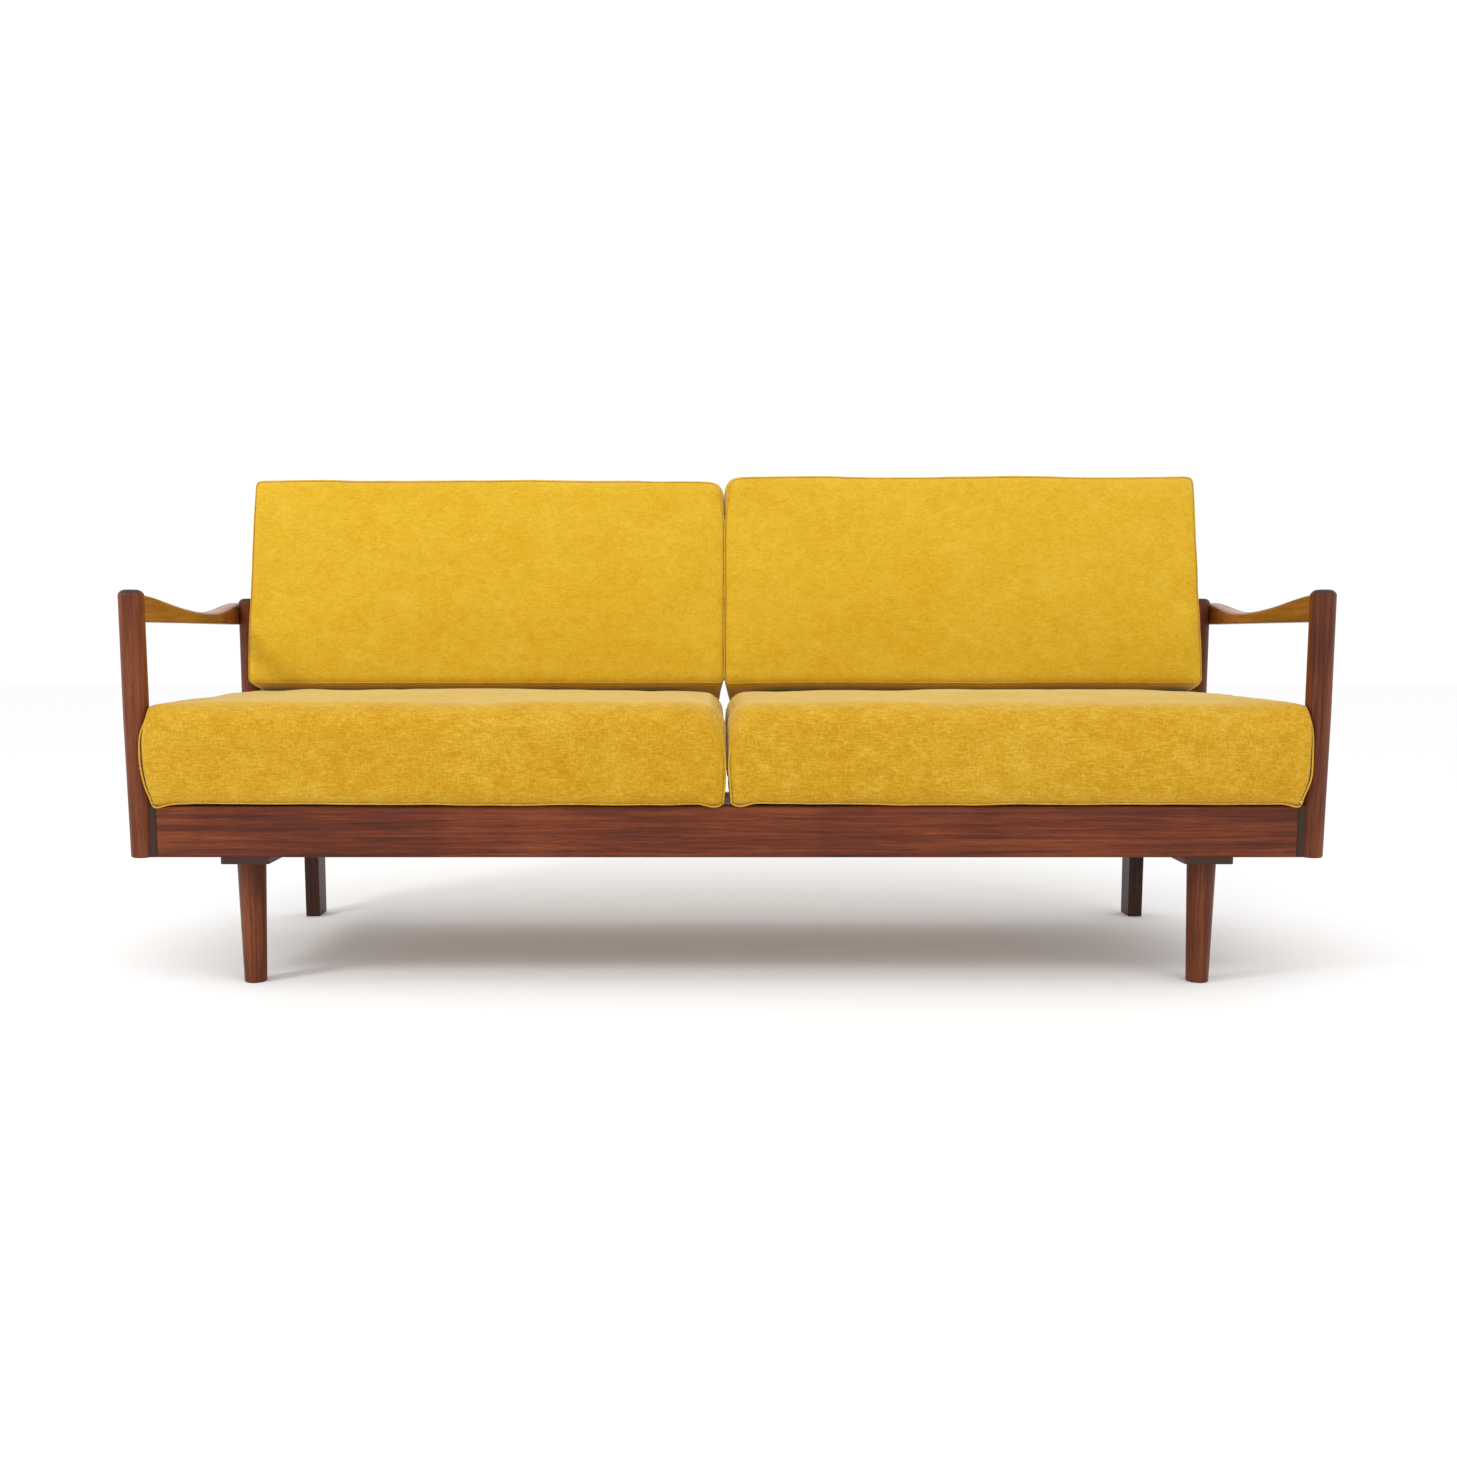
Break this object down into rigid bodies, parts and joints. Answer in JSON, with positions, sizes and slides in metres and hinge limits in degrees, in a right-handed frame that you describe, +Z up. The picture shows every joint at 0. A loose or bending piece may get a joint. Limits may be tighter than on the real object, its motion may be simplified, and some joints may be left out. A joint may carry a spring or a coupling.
{
  "type": "daybed sofa",
  "caption": "Low wooden daybed sofa with round posts, saddle armrests, loose seat and back cushions and a seat frame that pulls forward into a bed.",
  "frame": {"origin": "on the floor under the middle of the sofa's bounding box", "axes": "+Z up, front towards -Y, +X to the right when the sofa is seen from the front"},
  "size_m": [1.962, 0.7386, 0.8613],
  "materials": {
    "stained_wood": "satin",
    "inner_wood": "matte",
    "dowel_wood": "matte",
    "steel": "satin",
    "velvet": "matte"
  },
  "bodies": {
    "frame": {"front_post_left": "stained_wood", "front_post_right": "stained_wood", "back_post_left": "stained_wood", "back_post_right": "stained_wood", "armrest_left": "stained_wood", "armrest_right": "stained_wood", "rear_leg_left": "stained_wood", "rear_leg_right": "stained_wood", "side_rail_left": "stained_wood", "side_rail_right": "stained_wood", "rear_rail": "inner_wood", "fixed_cross_bar": "inner_wood", "backrest_rail_lower": "inner_wood", "backrest_rail_middle": "inner_wood", "backrest_rail_upper": "inner_wood", "fixed_slat_1": "inner_wood", "fixed_slat_2": "inner_wood", "fixed_slat_3": "inner_wood", "fixed_slat_4": "inner_wood", "fixed_slat_5": "inner_wood", "fixed_slat_6": "inner_wood", "fixed_slat_7": "inner_wood", "fixed_slat_8": "inner_wood", "side_rail_screws": "steel", "arm_screws": "steel", "frame_screws": "steel", "fixed_slat_screws": "steel", "backrest_screws": "steel", "guide_screws": "steel", "rear_leg_bolts": "steel", "rear_leg_nuts": "steel", "runner_guide_left": "steel", "runner_guide_right": "steel", "arm_dowels": "dowel_wood"},
    "pull_out": {"front_rail": "stained_wood", "slat_ledger": "inner_wood", "moving_cross_bar": "inner_wood", "runner_left": "stained_wood", "runner_right": "stained_wood", "front_leg_left": "stained_wood", "front_leg_right": "stained_wood", "moving_slat_screws": "steel", "runner_screws": "steel", "ledger_screws": "steel", "leg_hanger_bolts": "steel", "leg_inserts": "steel", "seat_cushion_left": "velvet", "seat_cushion_right": "velvet", "moving_slat_1": "inner_wood", "moving_slat_2": "inner_wood", "moving_slat_3": "inner_wood", "moving_slat_4": "inner_wood", "moving_slat_5": "inner_wood", "moving_slat_6": "inner_wood", "moving_slat_7": "inner_wood", "moving_slat_8": "inner_wood"},
    "back_cushion_left_body": {"back_cushion_left": "velvet"},
    "back_cushion_right_body": {"back_cushion_right": "velvet"}
  },
  "joints": [
    {"name": "seat_pull_out", "type": "slide", "parent": "frame", "child": "pull_out", "axis": [0, -1, 0], "range_m": [0, 0.3]},
    {"name": "back_cushion_left_recline", "type": "hinge", "parent": "pull_out", "child": "back_cushion_left_body", "pos_m": [0, 0.2325, 0.463], "axis": [-1, 0, 0], "range_deg": [0, 39]},
    {"name": "back_cushion_right_recline", "type": "hinge", "parent": "pull_out", "child": "back_cushion_right_body", "pos_m": [0, 0.2325, 0.463], "axis": [-1, 0, 0], "range_deg": [0, 39]}
  ],
  "couplings": [
    {"joint": "back_cushion_left_recline", "follows": "seat_pull_out", "rad_per_m": 2.25},
    {"joint": "back_cushion_right_recline", "follows": "seat_pull_out", "rad_per_m": 2.25}
  ]
}
